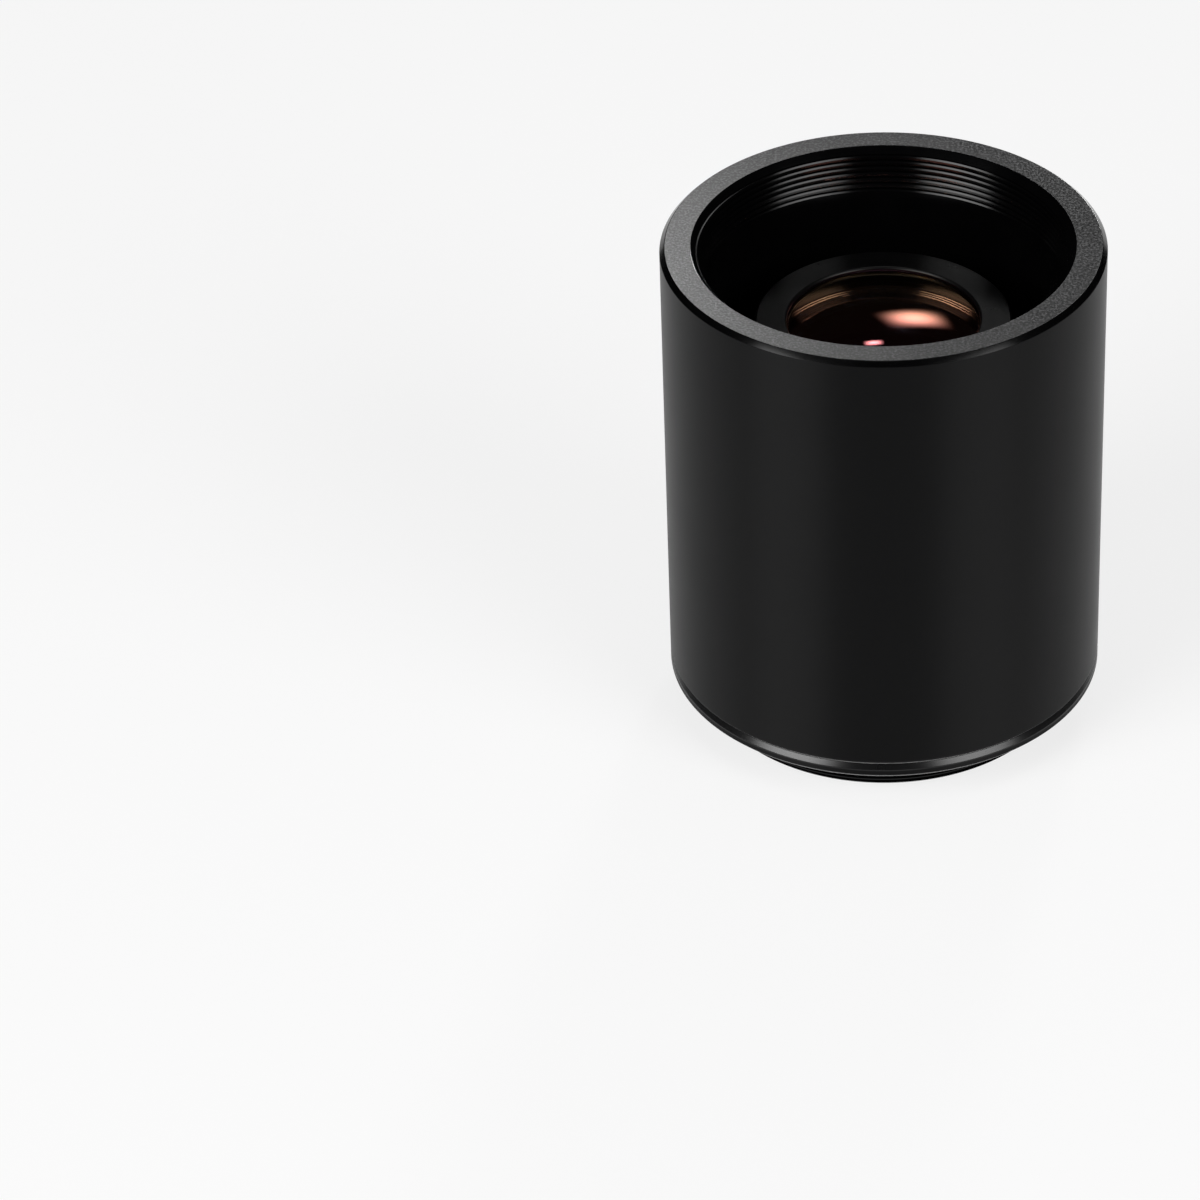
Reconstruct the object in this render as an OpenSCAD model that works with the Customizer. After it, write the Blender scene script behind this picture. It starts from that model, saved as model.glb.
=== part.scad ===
// Camera teleconverter: a turned barrel with a screw mount at each end and a
// cell of four lenses inside. The optical axis is Z, the rear thread ends at
// z = 0 and the front rim looks up. All sizes are in millimetres.

/* [Barrel] */
// Overall length, from the end of the rear thread to the front rim
overall_l = 60; // [50:0.5:90]
// Wall of the barrel round the front thread
barrel_wall = 4; // [3:0.1:8]
// Step from the front thread down to the plain bore
bore_step = 0.4; // [0.2:0.1:1.5]
// Bevel round the outer edge of the front rim
rim_bevel = 0.55; // [0.2:0.05:1.2]
// Lead-in bevel of the front thread
mouth_bevel = 0.6; // [0.2:0.05:1.2]
// Thickness of the inner web that carries the lens cell
web_t = 4; // [2:0.1:6]
// Bevel on both edges of the seam between the barrel and the rear mount
seam_bevel = 0.45; // [0.1:0.05:0.8]

/* [Threads and fits] */
// Diameter of the accessory thread at both ends
thread_d = 42; // [40:0.5:60]
// Depth of the front thread below the rim
front_thread_l = 6.2; // [3:0.1:9]
// Length of the rear thread below the mount's shoulder
rear_thread_l = 4; // [2.5:0.1:8]
// Radial gap of a screwed or slip fit
fit_gap = 0.05; // [0.02:0.01:0.15]
// Gap between a lens and the metal round it
glass_gap = 0.03; // [0.01:0.01:0.1]

/* [Rear mount] */
// Thickness of the flange that shows below the barrel
flange_t = 1.8; // [1.6:0.1:5]
// Bevel on the lower edge of the flange
flange_bevel = 0.5; // [0.1:0.05:0.7]
// Bevel at the free end of the rear thread
thread_bevel = 0.35; // [0.1:0.05:0.6]
// Radial step from the rear thread out to the spigot that screws into the barrel
spigot_step = 1; // [0.5:0.1:2]
// Length of the spigot inside the barrel
spigot_l = 5; // [3:0.1:9]
// Clear opening through the rear mount
throat_d = 36; // [28:0.5:38]

/* [Rear baffle] */
// Thickness of the glare stop
baffle_t = 0.6; // [0.3:0.1:1.5]
// Opening of the glare stop
baffle_opening_d = 26; // [20:0.5:32]
// Axial play that lets the flange close on the barrel before the spigot bottoms
baffle_play = 0.05; // [0.02:0.01:0.2]

/* [Lens cell] */
// Depth of the front ring's face below the barrel's rim
nose_depth = 9.9; // [6:0.1:16]
// Wall of the cell round the front element
cell_wall = 1.4; // [1:0.1:2.5]
// Wall of the cell's tail round the cemented pair
tail_wall = 2.4; // [1.2:0.1:4]
// Length of the cell's neck between the front ring and the flange
neck_l = 2.4; // [1:0.1:4]
// Radial width of the cell's flange outside its neck
cell_flange_w = 3.5; // [2:0.1:5]
// Thickness of the cell's flange
cell_flange_t = 2; // [1:0.1:3]
// Opening of the shoulder between the cemented pair and the rear element
stop_d = 17.8; // [14:0.1:18.6]

/* [Rings] */
// Opening of the front ring over the front element
front_opening_d = 21.8; // [18:0.1:23]
// Thickness of the front ring's face
face_t = 0.5; // [0.4:0.1:1.2]
// Wall of the front ring's skirt
skirt_wall = 1.2; // [0.8:0.1:2.5]
// Length of the front ring's skirt
skirt_l = 5.2; // [3:0.1:7]
// Bevel on the edges of the front ring's face
face_bevel = 0.2; // [0.05:0.05:0.3]
// Seam left between a tightened ring and the shoulder behind it
ring_gap = 0.1; // [0.05:0.05:0.3]
// Radial width of the cell's lock ring
lock_w = 3; // [2:0.1:5]
// Thickness of the cell's lock ring
lock_t = 3; // [1.5:0.1:4]
// Radial step from the rear element out to its retaining ring's thread
retainer_step = 0.5; // [0.3:0.1:1]
// Thickness of the rear retaining ring
retainer_t = 2; // [1.2:0.1:3]
// Opening of the rear retaining ring at the glass
retainer_opening_d = 17.6; // [15:0.1:18.6]
// Depth of the retaining ring inside the cell's end
retainer_recess = 0.4; // [0.1:0.1:1]
// Setback of the spacer's bore from the edge of each hollow lens face
spacer_setback = 0.1; // [0.05:0.05:0.3]
// Width of the spanner slots
slot_w = 1.2; // [0.8:0.1:2]
// Depth of the spanner slots
slot_depth = 0.8; // [0.4:0.1:1]

/* [Front element] */
// Diameter of the front element
front_lens_d = 23.6; // [23.2:0.1:25]
// Thickness at its centre
front_lens_t = 3.1; // [2.6:0.1:4.6]
// Radius of its bulged front face
front_lens_front_r = 36; // [28:0.5:60]
// Radius of its hollow rear face
front_lens_rear_r = 21.5; // [19:0.1:40]

/* [Cemented pair] */
// Diameter of the pair
doublet_d = 21.2; // [20.4:0.1:22]
// Space along the axis between the front element and the pair
front_space = 5.5; // [5:0.1:8]
// Radius of the pair's hollow front face
doublet_front_r = 42.7; // [32:0.1:80]
// Thickness of the hollow lens at its centre
doublet_hollow_t = 1.8; // [1.2:0.1:3]
// Radius of the cemented face
doublet_joint_r = 24; // [20:0.5:60]
// Layer of cement between the two lenses
cement_t = 0.02; // [0.01:0.01:0.05]
// Thickness of the bulged lens at its centre
doublet_bulged_t = 5.6; // [5:0.1:8]
// Radius of the pair's bulged rear face
doublet_rear_r = 44.8; // [34:0.1:90]

/* [Rear element] */
// Diameter of the rear element
rear_lens_d = 19.8; // [19.2:0.1:20.6]
// Space along the axis between the pair and the rear element
rear_space = 1.6; // [1.2:0.1:4]
// Radius of its hollow front face
rear_lens_front_r = 60; // [40:0.5:120]
// Thickness at its centre
rear_lens_t = 3.4; // [2.4:0.1:5]
// Radius of its bulged rear face
rear_lens_rear_r = 41.5; // [30:0.5:90]
// Width of the flat land round every hollow lens face
land_w = 1; // [0.6:0.1:1.3]

/* [Hidden] */
$fn = 180;

black_anodised = [0.09, 0.09, 0.10];
matt_black = [0.05, 0.05, 0.055];
coated_glass = [0.55, 0.30, 0.24, 0.6];
clear_glass = [0.70, 0.78, 0.80, 0.5];

// Height of a spherical face at radius r, measured from its vertex
function sag(face_r, r) = face_r - sqrt(face_r * face_r - r * r);

// Cut that reaches safely past a face
past = 1;

// Barrel and rear mount
thread_r = thread_d / 2;
male_r = thread_r - fit_gap;
barrel_r = thread_r + barrel_wall;
bore_r = thread_r - bore_step;
seam_z = rear_thread_l + flange_t;
spigot_r = thread_r + spigot_step;
spigot_end_z = seam_z + spigot_l;
baffle_z = spigot_end_z + baffle_play;
step_z = baffle_z + baffle_t;
throat_r = throat_d / 2;

// Radii of the cell, each built up from the glass inside it
front_lens_r = front_lens_d / 2;
doublet_r = doublet_d / 2;
rear_lens_r = rear_lens_d / 2;
cell_spigot_r = front_lens_r + glass_gap + cell_wall;
skirt_r = cell_spigot_r + fit_gap;
nose_r = skirt_r + skirt_wall;
tail_r = doublet_r + glass_gap + tail_wall;
web_r = tail_r + fit_gap;
cell_flange_r = nose_r + cell_flange_w;
front_opening_r = front_opening_d / 2;
stop_r = stop_d / 2;
retainer_r = rear_lens_r + glass_gap + retainer_step;
retainer_opening_r = retainer_opening_d / 2;

// Heights down the front of the cell
nose_z = overall_l - nose_depth;
face_under_z = nose_z - face_t;
cell_top_z = face_under_z - ring_gap;
skirt_end_z = face_under_z - skirt_l;
neck_top_z = skirt_end_z - ring_gap;
cell_flange_top_z = neck_top_z - neck_l;
web_top_z = cell_flange_top_z - cell_flange_t;
web_bottom_z = web_top_z - web_t;

// Heights down the glass, from the front vertex to the rear one
front_vertex_z = face_under_z - glass_gap + sag(front_lens_front_r, front_opening_r);
front_lens_rear_z = front_vertex_z - front_lens_t;
front_land_z = front_lens_rear_z - sag(front_lens_rear_r, front_lens_r - land_w);
doublet_vertex_z = front_lens_rear_z - front_space;
doublet_land_z = doublet_vertex_z + sag(doublet_front_r, doublet_r - land_w);
doublet_step_z = doublet_land_z - ring_gap;
joint_z = doublet_vertex_z - doublet_hollow_t;
doublet_rear_z = joint_z - cement_t - doublet_bulged_t;
stop_top_z = doublet_rear_z + sag(doublet_rear_r, stop_r) - glass_gap;
rear_vertex_z = doublet_rear_z - rear_space;
rear_land_z = rear_vertex_z + sag(rear_lens_front_r, rear_lens_r - land_w);
last_vertex_z = rear_vertex_z - rear_lens_t;
retainer_top_z = last_vertex_z + sag(rear_lens_rear_r, retainer_opening_r) - glass_gap;
retainer_step_z = retainer_top_z + ring_gap;
retainer_end_z = retainer_top_z - retainer_t;
cell_end_z = retainer_end_z - retainer_recess;

// Ball whose highest point lies at height z, for the faces that curve down
module ball_below(z, ball_r) {
    translate([0, 0, z - ball_r]) sphere(r = ball_r);
}

// Ball whose lowest point lies at height z, for the faces that curve up
module ball_above(z, ball_r) {
    translate([0, 0, z + ball_r]) sphere(r = ball_r);
}

// Round glass blank between two heights
module blank(lens_r, bottom_z, top_z) {
    translate([0, 0, bottom_z]) cylinder(h = top_z - bottom_z, r = lens_r);
}

// Bars that cut spanner slots up into the rear face of a ring, one per angle
module spanner_slots(rear_z, ring_r, angles) {
    for (angle = angles)
        rotate(angle)
            translate([-ring_r - past, -slot_w / 2, rear_z - past])
                cube([2 * (ring_r + past), slot_w, slot_depth + past]);
}

// Outer tube with the front thread, the web for the cell and the rear counterbore
module barrel() {
    color(black_anodised)
        rotate_extrude()
            polygon([
                [barrel_r - seam_bevel, seam_z],
                [barrel_r, seam_z + seam_bevel],
                [barrel_r, overall_l - rim_bevel],
                [barrel_r - rim_bevel, overall_l],
                [thread_r + mouth_bevel, overall_l],
                [thread_r, overall_l - mouth_bevel],
                [thread_r, overall_l - front_thread_l],
                [bore_r, overall_l - front_thread_l - bore_step],
                [bore_r, web_top_z],
                [web_r, web_top_z],
                [web_r, web_bottom_z],
                [bore_r, web_bottom_z],
                [bore_r, step_z],
                [spigot_r + fit_gap, step_z],
                [spigot_r + fit_gap, seam_z]
            ]);
}

// Flanged ring with the rear thread, screwed into the barrel by its spigot
module rear_mount() {
    color(black_anodised)
        rotate_extrude()
            polygon([
                [throat_r, 0],
                [male_r - thread_bevel, 0],
                [male_r, thread_bevel],
                [male_r, rear_thread_l],
                [barrel_r - flange_bevel, rear_thread_l],
                [barrel_r, rear_thread_l + flange_bevel],
                [barrel_r, seam_z - seam_bevel],
                [barrel_r - seam_bevel, seam_z],
                [spigot_r, seam_z],
                [spigot_r, spigot_end_z],
                [throat_r, spigot_end_z]
            ]);
}

// Glare stop with a knife edge, held between the barrel's step and the spigot
module rear_baffle() {
    color(matt_black)
        rotate_extrude()
            polygon([
                [baffle_opening_d / 2, step_z],
                [baffle_opening_d / 2 + baffle_t, baffle_z],
                [spigot_r, baffle_z],
                [spigot_r, step_z]
            ]);
}

// Mount for all the glass: spigot, neck, flange and tail outside, stepped bore inside
module lens_cell() {
    color(matt_black)
        rotate_extrude()
            polygon([
                [front_lens_r + glass_gap, cell_top_z],
                [cell_spigot_r, cell_top_z],
                [cell_spigot_r, neck_top_z],
                [nose_r, neck_top_z],
                [nose_r, cell_flange_top_z],
                [cell_flange_r, cell_flange_top_z],
                [cell_flange_r, web_top_z],
                [tail_r, web_top_z],
                [tail_r, cell_end_z],
                [retainer_r + fit_gap, cell_end_z],
                [retainer_r + fit_gap, retainer_step_z],
                [rear_lens_r + glass_gap, retainer_step_z],
                [rear_lens_r + glass_gap, rear_land_z],
                [stop_r, rear_land_z],
                [stop_r, stop_top_z],
                [doublet_r + glass_gap, stop_top_z],
                [doublet_r + glass_gap, doublet_step_z],
                [front_lens_r + glass_gap, doublet_step_z]
            ]);
}

// Slotted ring on the cell's tail that draws the flange against the web
module cell_lock_ring() {
    lock_r = web_r + lock_w;
    color(matt_black)
        difference() {
            translate([0, 0, web_bottom_z - lock_t]) cylinder(h = lock_t, r = lock_r);
            translate([0, 0, web_bottom_z - lock_t - past]) cylinder(h = lock_t + 2 * past, r = web_r);
            spanner_slots(web_bottom_z - lock_t, lock_r, [0, 90]);
        }
}

// Plain-faced cap that screws over the cell and holds the front element by its edge
module front_ring() {
    color(black_anodised)
        rotate_extrude()
            polygon([
                [front_opening_r, face_under_z],
                [front_opening_r, nose_z - face_bevel],
                [front_opening_r + face_bevel, nose_z],
                [nose_r - face_bevel, nose_z],
                [nose_r, nose_z - face_bevel],
                [nose_r, skirt_end_z],
                [skirt_r, skirt_end_z],
                [skirt_r, face_under_z]
            ]);
}

// Domed front lens, hollow behind
module front_element() {
    color(coated_glass)
        difference() {
            intersection() {
                blank(front_lens_r, front_land_z, front_vertex_z + past);
                ball_below(front_vertex_z, front_lens_front_r);
            }
            ball_below(front_lens_rear_z, front_lens_rear_r);
        }
}

// Ring with a tapered bore between the lands of the front element and the pair
module element_spacer() {
    color(matt_black)
        rotate_extrude()
            polygon([
                [doublet_r - land_w + spacer_setback, doublet_land_z + glass_gap],
                [front_lens_r, doublet_land_z + glass_gap],
                [front_lens_r, front_land_z - glass_gap],
                [front_lens_r - land_w + spacer_setback, front_land_z - glass_gap]
            ]);
}

// Hollow half of the cemented pair
module doublet_front_element() {
    edge_z = joint_z - sag(doublet_joint_r, doublet_r);
    color(clear_glass)
        difference() {
            blank(doublet_r, edge_z - past, doublet_land_z);
            ball_above(doublet_vertex_z, doublet_front_r);
            ball_below(joint_z, doublet_joint_r);
        }
}

// Bulged half of the cemented pair, seated on the cell's inner shoulder
module doublet_rear_element() {
    color(clear_glass)
        intersection() {
            blank(doublet_r, doublet_rear_z - past, joint_z + past);
            ball_below(joint_z - cement_t, doublet_joint_r);
            ball_above(doublet_rear_z, doublet_rear_r);
        }
}

// Last lens, with its land against the other side of the shoulder
module rear_element() {
    color(clear_glass)
        difference() {
            intersection() {
                blank(rear_lens_r, last_vertex_z - past, rear_land_z);
                ball_above(last_vertex_z, rear_lens_rear_r);
            }
            ball_above(rear_vertex_z, rear_lens_front_r);
        }
}

// Slotted ring with a flared opening that holds the last lens in the cell
module rear_retaining_ring() {
    flare_r = retainer_opening_r + retainer_step;
    color(matt_black)
        difference() {
            rotate_extrude()
                polygon([
                    [retainer_opening_r, retainer_top_z],
                    [retainer_r, retainer_top_z],
                    [retainer_r, retainer_end_z],
                    [flare_r, retainer_end_z]
                ]);
            spanner_slots(retainer_end_z, retainer_r, [0]);
        }
}

barrel();
rear_mount();
rear_baffle();
lens_cell();
cell_lock_ring();
front_ring();
front_element();
element_spacer();
doublet_front_element();
doublet_rear_element();
rear_element();
rear_retaining_ring();
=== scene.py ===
import math

import bpy
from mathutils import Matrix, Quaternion, Vector


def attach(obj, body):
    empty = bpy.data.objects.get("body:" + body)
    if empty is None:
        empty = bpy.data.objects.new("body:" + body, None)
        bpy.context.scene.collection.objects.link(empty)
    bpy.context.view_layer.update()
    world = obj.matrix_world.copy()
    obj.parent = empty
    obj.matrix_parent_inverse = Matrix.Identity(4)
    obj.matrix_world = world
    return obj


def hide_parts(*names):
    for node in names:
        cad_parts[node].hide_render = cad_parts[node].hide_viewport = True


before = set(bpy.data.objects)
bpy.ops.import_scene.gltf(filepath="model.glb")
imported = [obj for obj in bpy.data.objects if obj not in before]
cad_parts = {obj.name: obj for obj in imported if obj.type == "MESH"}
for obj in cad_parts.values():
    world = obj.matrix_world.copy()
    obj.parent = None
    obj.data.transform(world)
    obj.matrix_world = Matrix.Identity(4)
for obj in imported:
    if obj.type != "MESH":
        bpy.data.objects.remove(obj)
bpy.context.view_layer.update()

# BARREL
# The outer tube, turned from aluminium bar, bead blasted and black anodised, with a bright-cut bevel
# round its rim. Its mouth has a screw-cut M42 x 0.75 thread, a web inside carries the lens cell, and
# the rear is counterbored.
MM = 0.001
WELD = 0.001 * MM
PITCH = 0.75
THREAD_STEPS = 144


def draw_outline(name, points, closed=True):
    """Draws an outline in millimetres in the XZ plane, one extrusion a point, and stays in edit mode."""
    bpy.ops.object.select_all(action="DESELECT")
    bpy.ops.mesh.primitive_plane_add(size=MM)
    piece = bpy.context.object
    piece.name = piece.data.name = name
    bpy.ops.object.mode_set(mode="EDIT")
    bpy.ops.mesh.select_all(action="SELECT")
    bpy.ops.mesh.merge(type="CENTER")
    x, z = points[0]
    bpy.ops.transform.translate(value=(x * MM, 0, z * MM))
    for next_x, next_z in points[1:] + points[:1] * closed:
        step = ((next_x - x) * MM, 0, (next_z - z) * MM)
        bpy.ops.mesh.extrude_region_move(TRANSFORM_OT_translate={"value": step})
        x, z = next_x, next_z
    bpy.ops.mesh.select_all(action="SELECT")
    bpy.ops.mesh.remove_doubles(threshold=WELD)
    return piece


def apply_modifier(piece, kind, **settings):
    """Adds one modifier with its settings and applies it."""
    bpy.context.view_layer.objects.active = piece
    modifier = piece.modifiers.new(kind.lower(), kind)
    for key, value in settings.items():
        setattr(modifier, key, value)
    bpy.ops.object.modifier_apply(modifier=modifier.name)


def turn(name, points, edge=0.05, closed=True, steps=192):
    """A turned piece: its outline spun round the optical axis, its corners broken by a small radius."""
    piece = draw_outline(name, points, closed)
    bpy.ops.mesh.spin(steps=steps, angle=math.tau, center=(0, 0, 0), axis=(0, 0, 1))
    bpy.ops.mesh.select_all(action="SELECT")
    bpy.ops.mesh.remove_doubles(threshold=2 * WELD)
    bpy.ops.mesh.normals_make_consistent(inside=False)
    bpy.ops.object.mode_set(mode="OBJECT")
    if edge:
        apply_modifier(
            piece, "BEVEL", width=edge * MM, segments=2, limit_method="ANGLE", angle_limit=0.4,
        )
    return piece


def cut_thread(piece, points, turns):
    """Cuts a right-hand thread with a tool of this outline, which climbs one pitch a turn."""
    tool = draw_outline("thread_tool", points)
    bpy.ops.object.mode_set(mode="OBJECT")
    apply_modifier(
        tool, "SCREW", angle=math.tau, screw_offset=PITCH * MM, iterations=turns, steps=THREAD_STEPS,
        render_steps=THREAD_STEPS, use_merge_vertices=False,
    )
    bpy.ops.object.mode_set(mode="EDIT")
    bpy.ops.mesh.select_mode(type="EDGE")
    bpy.ops.mesh.select_all(action="DESELECT")
    bpy.ops.mesh.select_non_manifold()
    bpy.ops.mesh.fill_holes(sides=len(points))
    bpy.ops.mesh.select_mode(type="VERT")
    bpy.ops.mesh.select_all(action="SELECT")
    bpy.ops.mesh.normals_make_consistent(inside=False)
    bpy.ops.object.mode_set(mode="OBJECT")
    apply_modifier(piece, "BOOLEAN", operation="DIFFERENCE", solver="MANIFOLD", object=tool)
    bpy.data.objects.remove(tool)
    bpy.ops.object.mode_set(mode="EDIT")
    bpy.ops.mesh.select_all(action="SELECT")
    bpy.ops.mesh.remove_doubles(threshold=WELD)
    bpy.ops.object.mode_set(mode="OBJECT")


def smooth(piece):
    """Smooth shading that keeps corners crisp and flats flat. Slots left by cutting tools are cleared."""
    piece.data.materials.clear()
    bpy.ops.object.select_all(action="DESELECT")
    piece.select_set(True)
    bpy.context.view_layer.objects.active = piece
    bpy.ops.object.shade_smooth_by_angle(angle=0.42)
    apply_modifier(piece, "WEIGHTED_NORMAL", weight=100, keep_sharp=True)


class Socket:
    """An output of a shader node. Arithmetic on it adds the Math nodes that it needs."""

    def __init__(self, output):
        self.output = output
        self.tree = output.id_data

    def node(self, kind, settings, inputs, out=0):
        made = self.tree.nodes.new(kind)
        for key, value in settings.items():
            if key == "stops":
                ramp = made.color_ramp
                while len(ramp.elements) < len(value):
                    ramp.elements.new(1.0)
                for element, (place, colour) in zip(ramp.elements, value):
                    element.position = place
                    element.color = (*colour, 1.0)
            else:
                setattr(made, key, value)
        for key, value in inputs.items():
            self.feed(made.inputs[key], value)
        return Socket(made.outputs[out])

    def feed(self, socket, value):
        if isinstance(value, Socket):
            self.tree.links.new(value.output, socket)
        else:
            socket.default_value = value

    def math(self, operation, *values):
        return self.node("ShaderNodeMath", {"operation": operation}, dict(enumerate(values)))

    def __add__(self, other):
        return self.math("ADD", self, other)

    def __sub__(self, other):
        return self.math("SUBTRACT", self, other)

    def __rsub__(self, other):
        return self.math("SUBTRACT", other, self)

    def __mul__(self, other):
        return self.math("MULTIPLY", self, other)

    __radd__ = __add__
    __rmul__ = __mul__


def new_finish(name):
    """A new material: the material, its shader's inputs and the Object coordinates."""
    material = bpy.data.materials.new(name)
    material.use_nodes = True
    nodes = material.node_tree.nodes
    place = Socket(nodes.new("ShaderNodeTexCoord").outputs["Object"])
    return material, nodes["Principled BSDF"].inputs, place


def noise(place, scale, detail=2.0):
    """Noise with a given number of grains a metre, between 0 and 1."""
    return place.node("ShaderNodeTexNoise", {}, {"Vector": place, "Scale": scale, "Detail": detail})


def blend(place, factor, low, high):
    """A colour between two greys or colours."""
    inputs = {0: factor, 6: (*low, 1.0), 7: (*high, 1.0)}
    return place.node("ShaderNodeMix", {"data_type": "RGBA"}, inputs, out=2)


def bump(place, height, depth, **ground):
    """A bumped normal. The depth is in millimetres."""
    inputs = {"Strength": 1.0, "Distance": depth * MM, "Height": height, **ground}
    return place.node("ShaderNodeBump", {}, inputs)


def satin_anodised(name, edges, glint_strength):
    """Deep black anodising on a fine blasted ground. Between the given heights, on the seam bevels, a
    painted highlight lifts the colour and a glossy coat catches the lamps.
    """
    material, shader, place = new_finish(name)
    grain = noise(place, 6500.0, 3.0)
    cloud = noise(place, 140.0)
    span, soft = 64, 0.05
    dark, bright = (0, 0, 0), (1, 1, 1)
    height = place.node("ShaderNodeSeparateXYZ", {}, {0: place}, out=2) * (1 / (span * MM))
    stops = [(0.0, dark)]
    for low, high in edges:
        stops += [(low / span, dark), ((low + soft) / span, bright)]
        stops += [((high - soft) / span, bright), (high / span, dark)]
    # Band over the seam bevels, varied by the cloud: a painted highlight line in the colour, plus a glossy
    # coat.
    glint_band = place.node("ShaderNodeValToRGB", {"stops": stops}, {0: height})
    glint_band = glint_band * (cloud * 0.3 + glint_strength)
    ground = blend(place, cloud, (0.001, 0.001, 0.0011), (0.0022, 0.0022, 0.0024))
    # The band mixes in a lighter black as a painted highlight.
    glint_mix = {0: glint_band, 6: ground, 7: (0.004, 0.004, 0.0042, 1.0)}
    place.feed(shader["Base Color"], place.node("ShaderNodeMix", {"data_type": "RGBA"}, glint_mix, out=2))
    place.feed(shader["Roughness"], cloud * 0.05 + grain * 0.08 + 0.32 - glint_band * 0.08)
    place.feed(shader["Coat Weight"], glint_band)
    place.feed(shader["Normal"], bump(place, grain, 0.0025))
    shader["Specular IOR Level"].default_value = 0.085
    shader["Anisotropic"].default_value = 1.0
    shader["Anisotropic Rotation"].default_value = 0.25
    shader["Coat Roughness"].default_value = 0.2
    shader["Sheen Weight"].default_value = 0.3
    shader["Sheen Roughness"].default_value = 0.35
    return material


def blasted_rim(name):
    """The rim's flat face: grey flecks on black, on a grain that the facing tool left leaning inwards."""
    material, shader, place = new_finish(name)
    grain = noise(place, 3300.0, 3.0)
    cloud = noise(place, 220.0)
    middle_r = 23.0
    lean = -math.tan(math.radians(7.5)) / (middle_r * MM)
    tilt = {0: place, 1: (lean, lean, 0.0)}
    inwards = place.node("ShaderNodeVectorMath", {"operation": "MULTIPLY"}, tilt)
    upright = {0: inwards, 1: (0.0, 0.0, 1.0)}
    facing = place.node("ShaderNodeVectorMath", {"operation": "ADD"}, upright)
    facing = place.node("ShaderNodeVectorMath", {"operation": "NORMALIZE"}, {0: facing})
    fleck_stops = [(0.46, (0, 0, 0)), (0.64, (1, 1, 1))]
    flecks = place.node("ShaderNodeValToRGB", {"stops": fleck_stops}, {0: grain})
    speckled = blend(place, flecks * 0.9 + cloud * 0.1, (0.001, 0.001, 0.001), (0.13, 0.13, 0.131))
    place.feed(shader["Base Color"], speckled)
    place.feed(shader["Roughness"], cloud * 0.05 + 0.28)
    place.feed(shader["Normal"], bump(place, noise(place, 3600.0, 2.0), 0.028, Normal=facing))
    shader["Specular IOR Level"].default_value = 1.0
    shader["IOR"].default_value = 1.78
    return material


def bright_black(name, shine=0.22, index=1.5):
    """Black anodising on a thread or bevel, left as bright as it came off the tool."""
    material, shader, place = new_finish(name)
    grain = noise(place, 4200.0, 3.0)
    cloud = noise(place, 260.0)
    black = blend(place, cloud, (0.0006, 0.0006, 0.0007), (0.0014, 0.0014, 0.0015))
    place.feed(shader["Base Color"], black)
    place.feed(shader["Roughness"], grain * 0.06 + cloud * 0.05 + 0.09)
    place.feed(shader["Normal"], bump(place, grain, 0.001))
    shader["Specular IOR Level"].default_value = shine
    shader["IOR"].default_value = index
    return material


BARREL_R = 25.0
BORE_R = 20.6
MOUTH_R = 21.0
RIM_Z = 60.0
SEAM_Z = 5.8
RIM_BEVEL = 0.55
SEAM_BEVEL = 0.45
LEAD_IN = (0.5, 0.9)
WEB_FRONT, WEB_REAR, WEB_R = 39.9, 35.9, 13.08
STEP_Z, STEP_R = 11.45, 22.05
barrel = turn("barrel_tube", [
    (BARREL_R - SEAM_BEVEL, SEAM_Z), (BARREL_R, SEAM_Z + SEAM_BEVEL), (BARREL_R, RIM_Z - RIM_BEVEL),
    (BARREL_R - RIM_BEVEL, RIM_Z), (MOUTH_R + LEAD_IN[0], RIM_Z), (BORE_R, RIM_Z - LEAD_IN[1]),
    (BORE_R, WEB_FRONT), (WEB_R, WEB_FRONT), (WEB_R, WEB_REAR), (BORE_R, WEB_REAR), (BORE_R, STEP_Z),
    (STEP_R, STEP_Z), (STEP_R, SEAM_Z),
])
start_z = 54.5
cut_thread(barrel, [
    (BORE_R - 0.02, start_z - 0.29), (BORE_R - 0.02, start_z + 0.29), (BORE_R + 0.11, start_z + 0.09),
    (MOUTH_R, start_z + 0.035), (MOUTH_R, start_z - 0.035), (BORE_R + 0.11, start_z - 0.09),
], turns=9)
smooth(barrel)
# Faint painted highlight band on the barrel's lower seam bevel.
barrel.data.materials.append(satin_anodised("barrel_black", [(5.7, 6.3)], 0.02))
barrel.data.materials.append(blasted_rim("rim_grey"))
barrel.data.materials.append(bright_black("mouth_black"))
barrel.data.materials.append(bright_black("crest_black", 1.0, 1.8))
barrel.data.materials.append(bright_black("bevel_black", 0.5))
RIM, MOUTH, CREST, BEVEL = 1, 2, 3, 4
for face in barrel.data.polygons:
    radius = math.hypot(face.center.x, face.center.y) / MM
    height = face.center.z / MM
    if radius < BORE_R + 0.03 and abs(face.normal.z) < 0.1 and 54.0 < height < 56.6:
        face.material_index = CREST
    elif radius < MOUTH_R + LEAD_IN[0] - 0.01:
        face.material_index = MOUTH
    elif height > RIM_Z - 0.005:
        face.material_index = RIM
    elif height > RIM_Z - 0.5:
        face.material_index = BEVEL
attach(barrel, "root")
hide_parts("barrel")

# LENS CELL
# The inner tube that carries all the glass, turned from aluminium and flat black so that it throws
# no glare. Its flange sits on the barrel's web, and its stepped bore holds the lenses.


def flat_black(name, rings, shine=0.03, rough=0.5):
    """Flat black with a dusty grain over the fine rings that the turning tool left."""
    material, shader, place = new_finish(name)
    grain = noise(place, 5200.0, 3.0)
    cloud = noise(place, 300.0)
    radius = place.node("ShaderNodeVectorMath", {"operation": "LENGTH"}, {0: place}, out=1)
    groove = place.math("SINE", radius * (math.tau / (rings * MM)))
    black = blend(place, cloud, (0.0008, 0.0008, 0.0009), (0.002, 0.002, 0.0021))
    place.feed(shader["Base Color"], black)
    place.feed(shader["Roughness"], grain * 0.12 + cloud * 0.1 + rough)
    place.feed(shader["Normal"], bump(place, grain + groove * 0.2, 0.003))
    shader["Specular IOR Level"].default_value = shine
    return material


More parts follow.
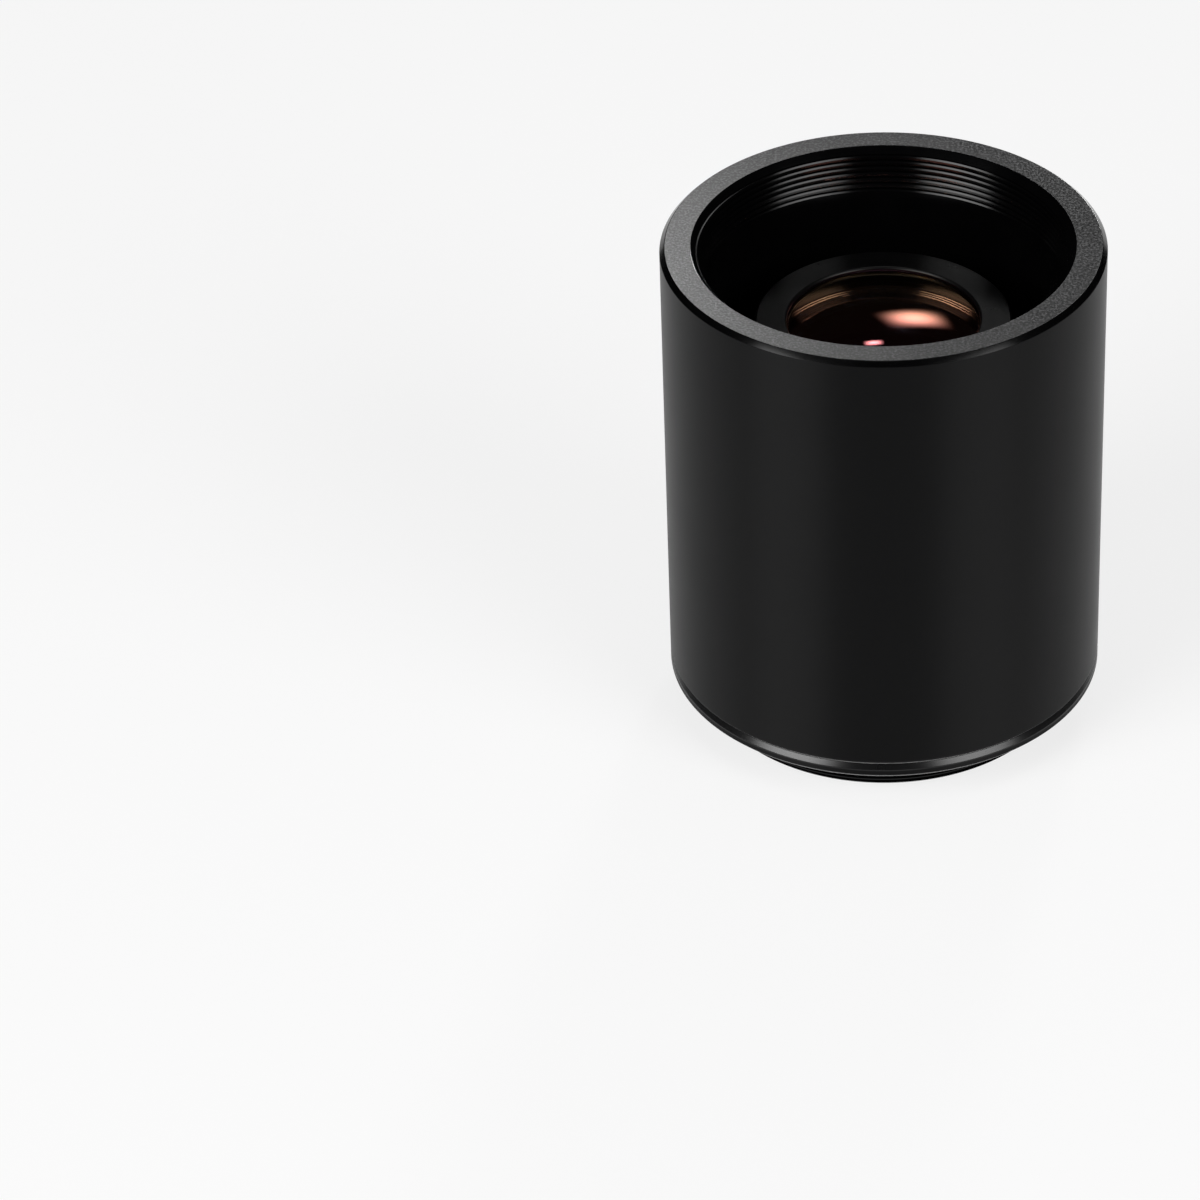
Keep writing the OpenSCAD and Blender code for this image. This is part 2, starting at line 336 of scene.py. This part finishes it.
CELL_TOP, CELL_END = 49.5, 28.75
NOSE_R, TAIL_R = 13.23, 13.03
NECK_R, NECK_TOP = 14.48, 44.3
FLANGE_R, FLANGE_TOP = 17.98, 41.9
FRONT_SEAT_R, FRONT_SEAT_Z = 11.83, 43.65
PAIR_SEAT_R, PAIR_SEAT_Z = 10.63, 36.10
REAR_SEAT_R, REAR_SEAT_Z = 9.93, 34.30
HOLDER_SEAT_R, HOLDER_SEAT_Z = 10.48, 31.25
STOP_R = 8.9
cell_black = flat_black("cell_black", 0.25)
lens_cell = turn("lens_cell_tube", [
    (FRONT_SEAT_R, CELL_TOP), (NOSE_R, CELL_TOP), (NOSE_R, NECK_TOP), (NECK_R, NECK_TOP),
    (NECK_R, FLANGE_TOP), (FLANGE_R, FLANGE_TOP), (FLANGE_R, WEB_FRONT), (TAIL_R, WEB_FRONT),
    (TAIL_R, CELL_END), (HOLDER_SEAT_R, CELL_END), (HOLDER_SEAT_R, HOLDER_SEAT_Z),
    (REAR_SEAT_R, HOLDER_SEAT_Z), (REAR_SEAT_R, REAR_SEAT_Z), (STOP_R, REAR_SEAT_Z),
    (STOP_R, PAIR_SEAT_Z), (PAIR_SEAT_R, PAIR_SEAT_Z), (PAIR_SEAT_R, FRONT_SEAT_Z),
    (FRONT_SEAT_R, FRONT_SEAT_Z),
])
smooth(lens_cell)
lens_cell.data.materials.append(cell_black)
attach(lens_cell, "root")
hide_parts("lens_cell")

# REAR ELEMENT
# The last lens, hollow in front and bulged behind, ground and polished from optical glass and coated.
# Its land lies on the cell's inner shoulder, and its ground edge is painted black.
DOWN, UP = 1, -1


def lens_arc(vertex_z, face_r, from_r, to_r, curl, count=28):
    """Points of a spherical lens face, which curls down or up from its vertex."""
    points = []
    for i in range(count + 1):
        r = from_r + (to_r - from_r) * i / count
        points.append((r, vertex_z - curl * (face_r - math.sqrt(face_r ** 2 - r ** 2))))
    return points


def polished_glass(name, index, film=0.0):
    """Optical glass with a trace of dust. The film, in nanometres, colours the reflections."""
    material, shader, place = new_finish(name)
    dust = noise(place, 900.0, 4.0)
    place.feed(shader["Base Color"], blend(place, dust, (0.97, 0.97, 0.96), (1.0, 1.0, 1.0)))
    place.feed(shader["Roughness"], dust * 0.02)
    shader["IOR"].default_value = index
    shader["Transmission Weight"].default_value = 1.0
    shader["Thin Film Thickness"].default_value = film
    shader["Thin Film IOR"].default_value = 2.3
    return material


def edge_paint(name):
    """The black paint on the ground edge of a lens, which stops stray light."""
    material, shader, place = new_finish(name)
    brush = noise(place, 1800.0, 3.0)
    black = blend(place, brush, (0.0003, 0.0003, 0.0003), (0.001, 0.001, 0.001))
    place.feed(shader["Base Color"], black)
    place.feed(shader["Roughness"], brush * 0.2 + 0.6)
    place.feed(shader["Normal"], bump(place, brush, 0.004))
    shader["Specular IOR Level"].default_value = 0.02
    return material


lens_edge = edge_paint("lens_edge_black")


def make_lens(name, points, glass, edge_r):
    """A lens with its glass, and paint on the rim outside the polished faces."""
    lens = turn(name, points, edge=0, closed=False, steps=160)
    smooth(lens)
    lens.data.materials.append(glass)
    lens.data.materials.append(lens_edge)
    for face in lens.data.polygons:
        if math.hypot(face.center.x, face.center.y) > edge_r * MM and abs(face.normal.z) < 0.05:
            face.material_index = 1
    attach(lens, "root")
    return lens


REAR_R = 9.9
REAR_LAND_Z = 34.3035
rear_element = make_lens(
    "rear_lens",
    lens_arc(33.64, 60, 0, STOP_R, UP) + [(REAR_R, REAR_LAND_Z)] + lens_arc(30.24, 41.5, REAR_R, 0, UP),
    polished_glass("rear_glass", 1.08), REAR_R - 0.05,
)
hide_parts("rear_element")

# REAR RETAINING RING
# A thin threaded ring that holds the last lens in the cell's end. Its opening flares to the rear, and two
# slots take a spanner. It is turned from aluminium and flat black like the cell.


def cut_slots(ring, z, radius, angles):
    """Saws spanner slots across the rear face of a ring."""
    slot_width, saw_height = 1.2, 1.8
    for angle in angles:
        bpy.ops.object.select_all(action="DESELECT")
        bpy.ops.mesh.primitive_cube_add(size=1.0)
        saw = bpy.context.object
        bpy.ops.object.mode_set(mode="EDIT")
        bpy.ops.transform.resize(value=(2 * (radius + 1) * MM, slot_width * MM, saw_height * MM))
        bpy.ops.transform.translate(value=(0, 0, (z - 0.1) * MM))
        bpy.ops.transform.rotate(value=math.radians(angle), orient_axis="Z", center_override=(0, 0, 0))
        bpy.ops.object.mode_set(mode="OBJECT")
        apply_modifier(ring, "BOOLEAN", operation="DIFFERENCE", solver="MANIFOLD", object=saw)
        bpy.data.objects.remove(saw)


HOLDER_R = 10.43
HOLDER_TOP, HOLDER_END = 31.15, 29.15
retaining_ring = turn("rear_retaining_ring_turned", [
    (8.8, HOLDER_TOP), (HOLDER_R, HOLDER_TOP), (HOLDER_R, HOLDER_END), (9.3, HOLDER_END),
])
cut_slots(retaining_ring, HOLDER_END, HOLDER_R, [0])
smooth(retaining_ring)
retaining_ring.data.materials.append(cell_black)
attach(retaining_ring, "root")
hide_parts("rear_retaining_ring")

# CEMENTED PAIR
# Two lenses of unlike glass, cemented face to face. The bulged one rests on the cell's shoulder, and the
# hollow one in front of it carries the spacer. Both are polished, and their edges are painted black.
PAIR_R = 10.6
PAIR_LAND_R, PAIR_LAND_Z = 9.6, 43.7529
pair_glass = polished_glass("pair_glass", 1.08)
pair_rear = make_lens(
    "pair_rear_lens",
    lens_arc(40.84, 24, 0, PAIR_R, DOWN) + lens_arc(35.24, 44.8, PAIR_R, 0, UP),
    pair_glass, PAIR_R - 0.05,
)
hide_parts("doublet_rear_element")
pair_front = make_lens(
    "pair_front_lens",
    lens_arc(42.66, 42.7, 0, PAIR_LAND_R, UP) + [(PAIR_R, PAIR_LAND_Z)]
    + lens_arc(40.86, 24, PAIR_R, 0, DOWN),
    pair_glass, PAIR_R - 0.05,
)
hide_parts("doublet_front_element")

# ELEMENT SPACER
# A loose ring with a tapered bore that keeps the front lens and the pair apart. It is turned from aluminium
# and flat black, and it touches only the flat lands of the glass.
SPACER_R = 11.8
SPACER_REAR, SPACER_FRONT = 43.783, 45.22
spacer = turn("element_spacer_ring", [
    (9.7, SPACER_REAR), (SPACER_R, SPACER_REAR), (SPACER_R, SPACER_FRONT), (10.9, SPACER_FRONT),
], edge=0.03)
smooth(spacer)
spacer.data.materials.append(cell_black)
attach(spacer, "root")
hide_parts("element_spacer")

# FRONT ELEMENT
# The domed first lens, hollow behind, polished and coated. The coating throws back a faint amber, and
# the front ring holds the lens down by its edge.
FRONT_R = 11.8
FRONT_LAND_R, FRONT_LAND_Z = 10.8, 45.25
front_element = make_lens(
    "front_lens",
    lens_arc(51.26, 36, 0, FRONT_R, DOWN, 40) + [(FRONT_R, FRONT_LAND_Z)]
    + lens_arc(48.16, 21.5, FRONT_LAND_R, 0, DOWN, 40),
    polished_glass("front_glass", 1.2, 225.5), FRONT_R - 0.05,
)
front_element.data.materials.append(polished_glass("front_rear_glass", 1.08))
for face in front_element.data.polygons:
    if face.normal.z < -0.05:
        face.material_index = 2
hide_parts("front_element")

# FRONT RING
# The plain-faced cap that screws over the cell and clamps the front lens. It is turned from aluminium and
# satin black, with its edges broken by small bevels.
OPENING_R, SKIRT_R = 10.9, 13.28
FACE_Z, UNDER_Z, SKIRT_END = 50.1, 49.6, 44.4
FACE_BEVEL = 0.2
front_ring = turn("front_ring_cap", [
    (OPENING_R, UNDER_Z), (OPENING_R, FACE_Z - FACE_BEVEL), (OPENING_R + FACE_BEVEL, FACE_Z),
    (NECK_R - FACE_BEVEL, FACE_Z), (NECK_R, FACE_Z - FACE_BEVEL), (NECK_R, SKIRT_END),
    (SKIRT_R, SKIRT_END), (SKIRT_R, UNDER_Z),
], edge=0.04)
smooth(front_ring)
front_ring.data.materials.append(flat_black("front_ring_black", 0.3, 0.26, 0.2))
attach(front_ring, "root")
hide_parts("front_ring")

# CELL LOCK RING
# The slotted ring that screws up the cell's tail and draws its flange against the web. It is turned from
# aluminium and flat black.
LOCK_R, LOCK_END = 16.08, 32.9
lock_ring = turn("cell_lock_ring_turned", [
    (WEB_R, LOCK_END), (LOCK_R, LOCK_END), (LOCK_R, WEB_REAR), (WEB_R, WEB_REAR),
])
cut_slots(lock_ring, LOCK_END, LOCK_R, [0, 90])
smooth(lock_ring)
lock_ring.data.materials.append(cell_black)
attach(lock_ring, "root")
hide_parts("cell_lock_ring")

# REAR BAFFLE
# A thin disc with a knife-edged opening that stops glare. It is pinched between the barrel's step and the
# end of the rear mount, and painted flat black.
BAFFLE_R, BAFFLE_REAR = 22.0, 10.85
baffle = turn("rear_baffle_disc", [
    (13.0, STEP_Z), (13.6, BAFFLE_REAR), (BAFFLE_R, BAFFLE_REAR), (BAFFLE_R, STEP_Z),
], edge=0.02)
smooth(baffle)
baffle.data.materials.append(flat_black("baffle_black", 0.35))
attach(baffle, "root")
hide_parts("rear_baffle")

# REAR MOUNT
# The flanged ring that screws into the barrel by its spigot and carries the male M42 x 0.75 thread. It is
# turned from aluminium, screw-cut up to a relief groove, and black anodised like the barrel.
STUB_R, ROOT_R, GROOVE_R = 20.95, 20.5, 20.45
THROAT_R = 18.0
SHOULDER_Z = 4.0
SPIGOT_R, SPIGOT_END = 22.0, 10.8
STUB_BEVEL, FLANGE_BEVEL = 0.45, 0.5
rear_mount = turn("rear_mount_ring", [
    (THROAT_R, 0.0), (STUB_R - STUB_BEVEL, 0.0), (STUB_R, STUB_BEVEL), (STUB_R, 3.15), (GROOVE_R, 3.4),
    (GROOVE_R, SHOULDER_Z), (BARREL_R - FLANGE_BEVEL, SHOULDER_Z), (BARREL_R, SHOULDER_Z + FLANGE_BEVEL),
    (BARREL_R, SEAM_Z - 0.6), (BARREL_R - 0.4, SEAM_Z), (SPIGOT_R, SEAM_Z), (SPIGOT_R, SPIGOT_END),
    (THROAT_R, SPIGOT_END),
])
start_z = -0.82
cut_thread(rear_mount, [
    (STUB_R + 0.05, start_z - 0.339), (ROOT_R, start_z - 0.05), (ROOT_R, start_z + 0.05),
    (STUB_R + 0.05, start_z + 0.339),
], turns=6)
smooth(rear_mount)
# Stronger painted highlight band on the flange's upper chamfer.
rear_mount.data.materials.append(satin_anodised("mount_black", [(5.15, 5.85)], 0.6))
rear_mount.data.materials.append(bright_black("stub_black"))
rear_mount.data.materials.append(cell_black)
STUB, INSIDE = 1, 2
for face in rear_mount.data.polygons:
    radius = math.hypot(face.center.x, face.center.y) / MM
    height = face.center.z / MM
    if radius < THROAT_R + 0.1 or height > SEAM_Z + 0.1:
        face.material_index = INSIDE
    elif radius < SPIGOT_R and height < SHOULDER_Z - 0.05:
        face.material_index = STUB
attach(rear_mount, "root")
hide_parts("rear_mount")

# FLOOR
# A wide sheet of matt white paper under the part, which fills the whole view.
bpy.ops.object.select_all(action="DESELECT")
bpy.ops.mesh.primitive_plane_add(size=6.0, location=(0, 0, -0.00002))
floor = bpy.context.object
floor.name = "floor"
paper, paper_inputs, paper_place = new_finish("paper")
fibre = noise(paper_place, 700.0, 3.0)
paper_white = blend(paper_place, fibre, (0.89, 0.89, 0.89), (0.91, 0.91, 0.91))
paper_place.feed(paper_inputs["Base Color"], paper_white)
paper_inputs["Roughness"].default_value = 0.9
paper_inputs["Specular IOR Level"].default_value = 0.0
nodes = paper.node_tree.nodes
path = nodes.new("ShaderNodeLightPath").outputs
seen = Socket(path["Is Camera Ray"]) + Socket(path["Is Glossy Ray"]) + Socket(path["Is Transmission Ray"])
white = paper_place.node("ShaderNodeEmission", {}, {"Strength": 1.0})
sheet = Socket(nodes["Principled BSDF"].outputs[0])
share = seen.math("MINIMUM", seen, 1.0) * 0.75
pale = paper_place.node("ShaderNodeMixShader", {}, {0: share, 1: sheet, 2: white})
paper_place.feed(nodes["Material Output"].inputs["Surface"], pale)
floor.data.materials.append(paper)

# LIGHT
# Two large softboxes stand in front of the part, to its left and right, and a weak one hangs above it.
# Three small ones behind it light the rim and show in the lens. The room round them is dark.
world = bpy.data.worlds.new("room")
world.use_nodes = True
room = world.node_tree.nodes
room["Background"].inputs["Strength"].default_value = 0.004
room["Background"].inputs["Color"].default_value = (1.0, 1.0, 1.0, 1.0)
bpy.context.scene.world = world


def softbox(name, azimuth, elevation, width, height, radiance, fade=1.0, roll=0.0, distance=1.2):
    """A softbox that faces the part and fades to its edges. Azimuth 0 is in front, and 90 on the right."""
    a, e = math.radians(azimuth), math.radians(elevation)
    away = Vector((math.sin(a) * math.cos(e), -math.cos(a) * math.cos(e), math.sin(e)))
    bpy.ops.object.light_add(type="AREA", location=Vector((0, 0, 0.05)) + away * distance)
    lamp = bpy.context.object
    lamp.name = name
    lamp.rotation_mode = "QUATERNION"
    lamp.rotation_quaternion = away.to_track_quat("Z", "Y") @ Quaternion((0, 0, 1), math.radians(roll))
    lamp.data.shape = "RECTANGLE"
    lamp.data.size = width
    lamp.data.size_y = height
    lamp.data.energy = radiance * math.pi * width * height
    lamp.visible_camera = False
    lamp.data.use_nodes = True
    nodes = lamp.data.node_tree.nodes
    spot = Socket(nodes.new("ShaderNodeNewGeometry").outputs["Parametric"])
    across = spot.node("ShaderNodeSeparateXYZ", {}, {0: spot}, out=0)
    along = spot.node("ShaderNodeSeparateXYZ", {}, {0: spot}, out=1)
    glow = across * (1 - across) * along * (1 - along) * 16
    spot.feed(nodes["Emission"].inputs["Strength"], spot.math("POWER", glow, fade))


softbox("softbox_right", 48, 28, 0.9, 0.9, 7.0, fade=0.7)
softbox("softbox_left", -48, 28, 0.9, 0.9, 9.5, fade=0.7)
softbox("softbox_above", 0, 89, 0.9, 0.9, 1.5)
softbox("softbox_back", 171.6, 36.4, 0.38, 0.29, 3.6, fade=3.0, roll=28)
softbox("softbox_back_low", 166, 20, 0.24, 0.16, 50.0)
softbox("softbox_back_small", -176, 52.2, 0.12, 0.07, 5.0, fade=2.0)

# CAMERA
# Looks down at the part from the front, as in the photograph, which has the part right of its middle.
bpy.ops.object.camera_add(location=(0.0, -0.51882, 0.37574))
camera = bpy.context.object
sight = Vector((-0.03316, 0.0, 0.01136)) - camera.location
camera.rotation_mode = "QUATERNION"
camera.rotation_quaternion = sight.to_track_quat("-Z", "Y") @ Quaternion((0, 0, 1), math.radians(-2.203))
camera.data.sensor_width = 36.0
camera.data.lens = 162.74
camera.data.clip_start = 0.01
bpy.context.scene.camera = camera
bpy.context.scene.view_settings.view_transform = "Standard"
